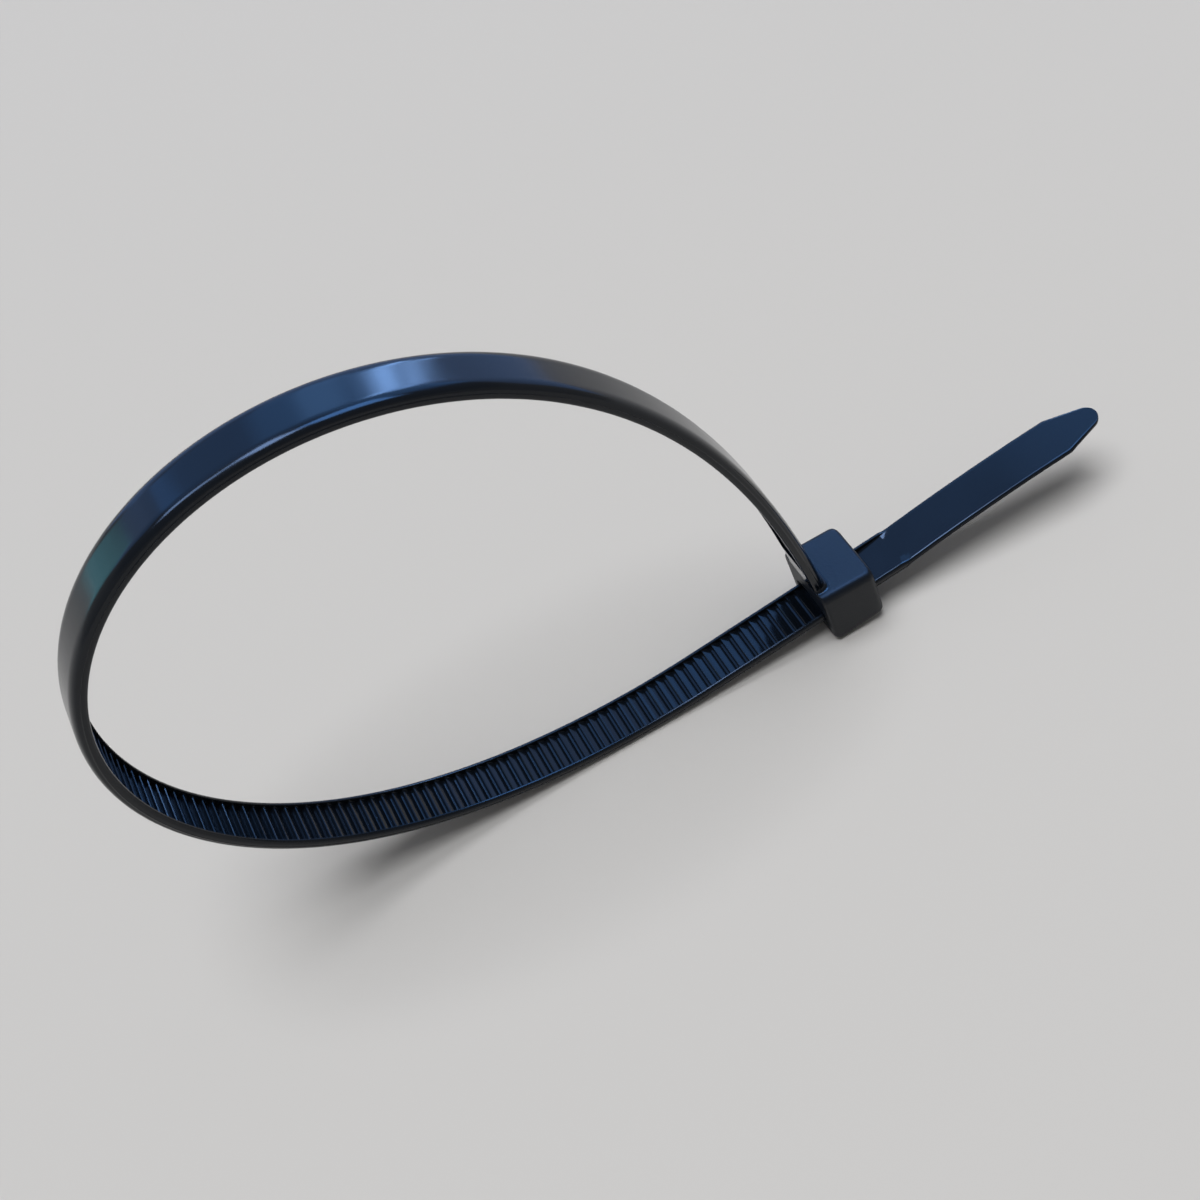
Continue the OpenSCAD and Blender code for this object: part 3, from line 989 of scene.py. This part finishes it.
@dataclass(frozen=True)
class Studio:
    """Pale floor, wide soft daylight, a room of cards for the gloss, and the photograph's viewpoint."""

    floor_colour: str = "#cdcccb"
    floor_half: float = 3.0
    floor_roughness: float = 0.9
    floor_specular: float = 0.1
    wall_colour: str = "#c8c8c7"
    ceiling_colour: str = "#dfe8ff"
    ceiling_level: float = 0.15
    walls_fade: tuple[float, float] = (0.36, 0.5)
    fill_colour: str = "#fffdfa"
    fill: float = 0.2
    gloss_share: float = 0.35
    daylight_power: float = 2.5
    daylight_width: float = 38.0
    daylight_from: tuple[float, float, float] = (-0.16, 0.01, 0.985)
    aim: tuple[float, float, float] = (0.0, 0.0, 0.015)
    eye: tuple[float, float, float] = (-0.02118, -0.07888, 0.12303)
    forward: tuple[float, float, float] = (0.12396, 0.5971, -0.79247)
    up: tuple[float, float, float] = (0.47308, 0.6665, 0.57612)
    lens: float = 48.116
    film: float = 36.0
    clip_start: float = 0.002
    cards: tuple[Card, ...] = (
        Card("skylight_over", (-0.09, 0.16, 1.3), (0.36, 0.48), 10.5, "#a0c4ff"),
        Card("skylight_left", (-0.62, 0.30, 1.14), (0.22, 0.6), 5.0, "#a0c4ff"),
        Card("skylight_right", (0.48, 0.20, 1.3), (0.5, 0.6), 12.0, "#6aaaff"),
        Card("sky_high", (0.10, 0.62, 0.80), (1.7, 0.6), 4.4, "#5aa2fc"),
        Card("sky_middle", (0.34, 0.66, 0.70), (0.9, 0.5), 1.8, "#62a8fc"),
        Card("sky_corner", (-0.75, 0.75, 0.55), (0.46, 0.4), 0.6, "#5aa2fc"),
        Card("sky_low", (0.3, 0.9, 0.28), (2.6, 0.66), 6.0, "#5aa2ff"),
        Card("doorway", (-0.74, 0.66, 0.17), (0.2, 0.36), 0.36, "#60d0e8"),
        Card("window_soft", (0.21, 0.74, 0.63), (0.17, 0.3), 0.30, "#80b8ff"),
        Card("window_left", (0.235, 0.40, 0.31), (0.032, 0.2), 0.42, "#8dbcff"),
        Card("window_right", (0.275, 0.385, 0.285), (0.018, 0.2), 0.19, "#8dbcff"),
    )

    def add_floor(self) -> None:
        """Lays a plain pale board under the tie, large enough to fill every view."""
        material = bpy.data.materials.new("floor_board")
        material.use_nodes = True
        shader = material.node_tree.nodes["Principled BSDF"]
        shader.inputs["Base Color"].default_value = hex_to_linear(self.floor_colour)
        shader.inputs["Roughness"].default_value = self.floor_roughness
        shader.inputs["Specular IOR Level"].default_value = self.floor_specular
        r = self.floor_half
        mesh = bpy.data.meshes.new("floor")
        mesh.from_pydata([(-r, -r, 0), (r, -r, 0), (r, r, 0), (-r, r, 0)], [], [(0, 1, 2, 3)])
        mesh.materials.append(material)
        obj = bpy.data.objects.new("floor", mesh)
        bpy.context.scene.collection.objects.link(obj)

    def add_daylight(self) -> None:
        """Wide soft light from nearly overhead, out of sight of the gloss, where the cards stand in."""
        data = bpy.data.lights.new("daylight", "SUN")
        data.energy = self.daylight_power
        data.angle = np.radians(self.daylight_width)
        obj = bpy.data.objects.new("daylight", data)
        obj.matrix_world = Vector(self.daylight_from).to_track_quat("Z", "Y").to_matrix().to_4x4()
        obj.visible_glossy = False
        bpy.context.scene.collection.objects.link(obj)

    def add_card(self, card: Card) -> None:
        """Hangs a card that faces the tie and shows only in the gloss of its plastic.

        Args:
            card: The card's measures.
        """
        data = bpy.data.lights.new(card.name, "AREA")
        data.shape = "RECTANGLE"
        data.size, data.size_y = card.size
        data.energy = card.power
        data.color = hex_to_linear(card.colour)[:3]
        obj = bpy.data.objects.new(card.name, data)
        turned = (Vector(self.aim) - Vector(card.place)).to_track_quat("-Z", "Y")
        obj.matrix_world = Matrix.Translation(card.place) @ turned.to_matrix().to_4x4()
        obj.visible_camera = False
        obj.visible_diffuse = False
        bpy.context.scene.collection.objects.link(obj)

    def add_world(self) -> None:
        """Even light from all round; the eye and the plastic's gloss see pale walls under a dim ceiling.

        The walls stand to about 21 degrees above the horizon and fade to the ceiling's level by 30.
        """
        world = bpy.data.worlds.new("soft_room")
        world.use_nodes = True
        tree = world.node_tree
        tree.nodes.clear()
        path = add_node(tree, "ShaderNodeLightPath")
        eye = add_node(tree, "ShaderNodeMath", {"operation": "MAXIMUM"}, {
            0: path.outputs["Is Camera Ray"], 1: path.outputs["Is Transmission Ray"]})
        gloss = add_node(tree, "ShaderNodeMath", {"operation": "MULTIPLY"}, {
            0: path.outputs["Is Glossy Ray"], 1: self.gloss_share})
        seen = add_node(tree, "ShaderNodeMath", {"operation": "MAXIMUM"}, {
            0: eye.outputs["Value"], 1: gloss.outputs["Value"]})
        place = add_node(tree, "ShaderNodeTexCoord")
        height = add_node(tree, "ShaderNodeSeparateXYZ", inputs={"Vector": place.outputs["Object"]})
        walls = add_node(tree, "ShaderNodeMapRange", {"interpolation_type": "SMOOTHSTEP"}, {
            "Value": height.outputs["Z"], "From Min": self.walls_fade[0], "From Max": self.walls_fade[1],
            "To Min": 1.0, "To Max": 0.0})
        wall = add_node(tree, "ShaderNodeBackground", inputs={
            "Color": hex_to_linear(self.wall_colour), "Strength": 1.0})
        ceiling = add_node(tree, "ShaderNodeBackground", inputs={
            "Color": hex_to_linear(self.ceiling_colour), "Strength": self.ceiling_level})
        room = add_node(tree, "ShaderNodeMixShader", inputs={
            0: walls.outputs["Result"], 1: ceiling.outputs["Background"], 2: wall.outputs["Background"]})
        fill = add_node(tree, "ShaderNodeBackground", inputs={
            "Color": hex_to_linear(self.fill_colour), "Strength": self.fill})
        mix = add_node(tree, "ShaderNodeMixShader", inputs={
            0: seen.outputs["Value"], 1: fill.outputs["Background"], 2: room.outputs["Shader"]})
        add_node(tree, "ShaderNodeOutputWorld", inputs={"Surface": mix.outputs["Shader"]})
        bpy.context.scene.world = world

    def add_camera(self) -> None:
        """The camera of the photograph, from the fit of its outlines."""
        data = bpy.data.cameras.new("camera")
        data.sensor_width = self.film
        data.lens = self.lens
        data.clip_start = self.clip_start
        obj = bpy.data.objects.new("camera", data)
        back = -Vector(self.forward).normalized()
        right = Vector(self.up).cross(back).normalized()
        turned = Matrix((right, back.cross(right), back)).transposed().to_4x4()
        obj.matrix_world = Matrix.Translation(self.eye) @ turned
        bpy.context.scene.collection.objects.link(obj)
        bpy.context.scene.camera = obj

    def build(self) -> None:
        """Sets floor, light, camera and view."""
        self.add_floor()
        self.add_world()
        self.add_daylight()
        for card in self.cards:
            self.add_card(card)
        self.add_camera()
        bpy.context.scene.view_settings.view_transform = "Standard"


def main() -> None:
    """Builds the tie's three sub-assemblies and the studio, and notes the overall sizes."""
    logging.basicConfig(level=logging.INFO, format="%(message)s")
    path = LoopPath(HeadSizes(), StrapSizes())
    pose = RestingPose(path)
    log.info("resting tilt %.3f degrees, strap length %.1f mm", pose.tilt(), path.length - path.tip_end)
    polished, eroded = MouldedNylon(Mould.POLISHED).build(), MouldedNylon(Mould.ERODED).build()
    for part in (Strap(path, pose, polished), Head(path, pose, eroded), Pawl(path, pose, eroded)):
        piece = part.build()
        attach(piece, "root")
        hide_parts("cable_tie")
    Studio().build()


if __name__ == "__main__":
    main()
